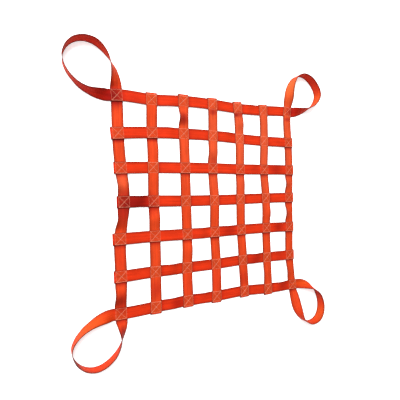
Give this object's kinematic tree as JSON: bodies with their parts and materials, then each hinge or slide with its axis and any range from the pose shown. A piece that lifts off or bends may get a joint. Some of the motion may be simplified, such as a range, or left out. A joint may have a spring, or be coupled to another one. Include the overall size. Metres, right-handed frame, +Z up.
{
  "type": "cargo lifting net",
  "caption": "Square lifting net of flat orange webbing, box-stitched at each crossing, laid flat on the floor with a webbing loop for a hook standing on edge at each corner.",
  "frame": {"origin": "centre of the net on the floor, on the underside of the middle across strap", "axes": "+Z up from the floor, +X along the across straps towards the picture's right, +Y towards the picture's top edge of the net"},
  "size_m": [1.3195, 1.3348, 0.0509],
  "materials": {
    "webbing": "woven orange polyester webbing, matt with a slight sheen along the yarns"
  },
  "bodies": {
    "root": {"across_1": "webbing", "across_2": "webbing", "across_3": "webbing", "across_4": "webbing", "across_5": "webbing", "down_1": "webbing", "down_2": "webbing", "down_3": "webbing", "down_4": "webbing", "down_5": "webbing", "loop_strap_ne": "webbing", "loop_strap_nw": "webbing", "loop_strap_se": "webbing", "loop_strap_sw": "webbing"}
  },
  "joints": []
}
